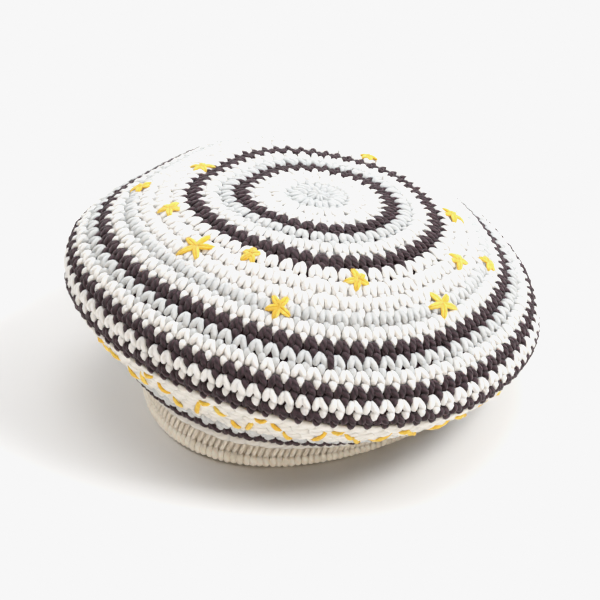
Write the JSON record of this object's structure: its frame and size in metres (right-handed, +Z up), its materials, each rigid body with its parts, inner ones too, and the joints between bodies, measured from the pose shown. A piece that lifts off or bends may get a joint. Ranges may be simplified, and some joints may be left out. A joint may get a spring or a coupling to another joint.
{
  "type": "crocheted beret",
  "caption": "Soft hollow beret crocheted in rounds, with a wide sagging crown in dark and pale rings and a ribbed band around the open mouth.",
  "frame": {"origin": "on the surface that the band stands on, under the middle of the crown's box", "axes": "+Z up through the crown, +X to the right as seen in the picture, +Y away from the viewer"},
  "size_m": [0.2322, 0.2334, 0.1008],
  "materials": {
    "white_cotton": "matte cotton yarn in single crochet",
    "cream_rib": "matte cotton yarn in a ribbed knit",
    "pale_cotton": "matte pale blue-grey cotton yarn",
    "dark_cotton": "matte aubergine-grey cotton yarn",
    "yellow_thread": "soft embroidery cotton"
  },
  "bodies": {
    "root": {"crown": "white_cotton", "band": "cream_rib"}
  },
  "joints": []
}
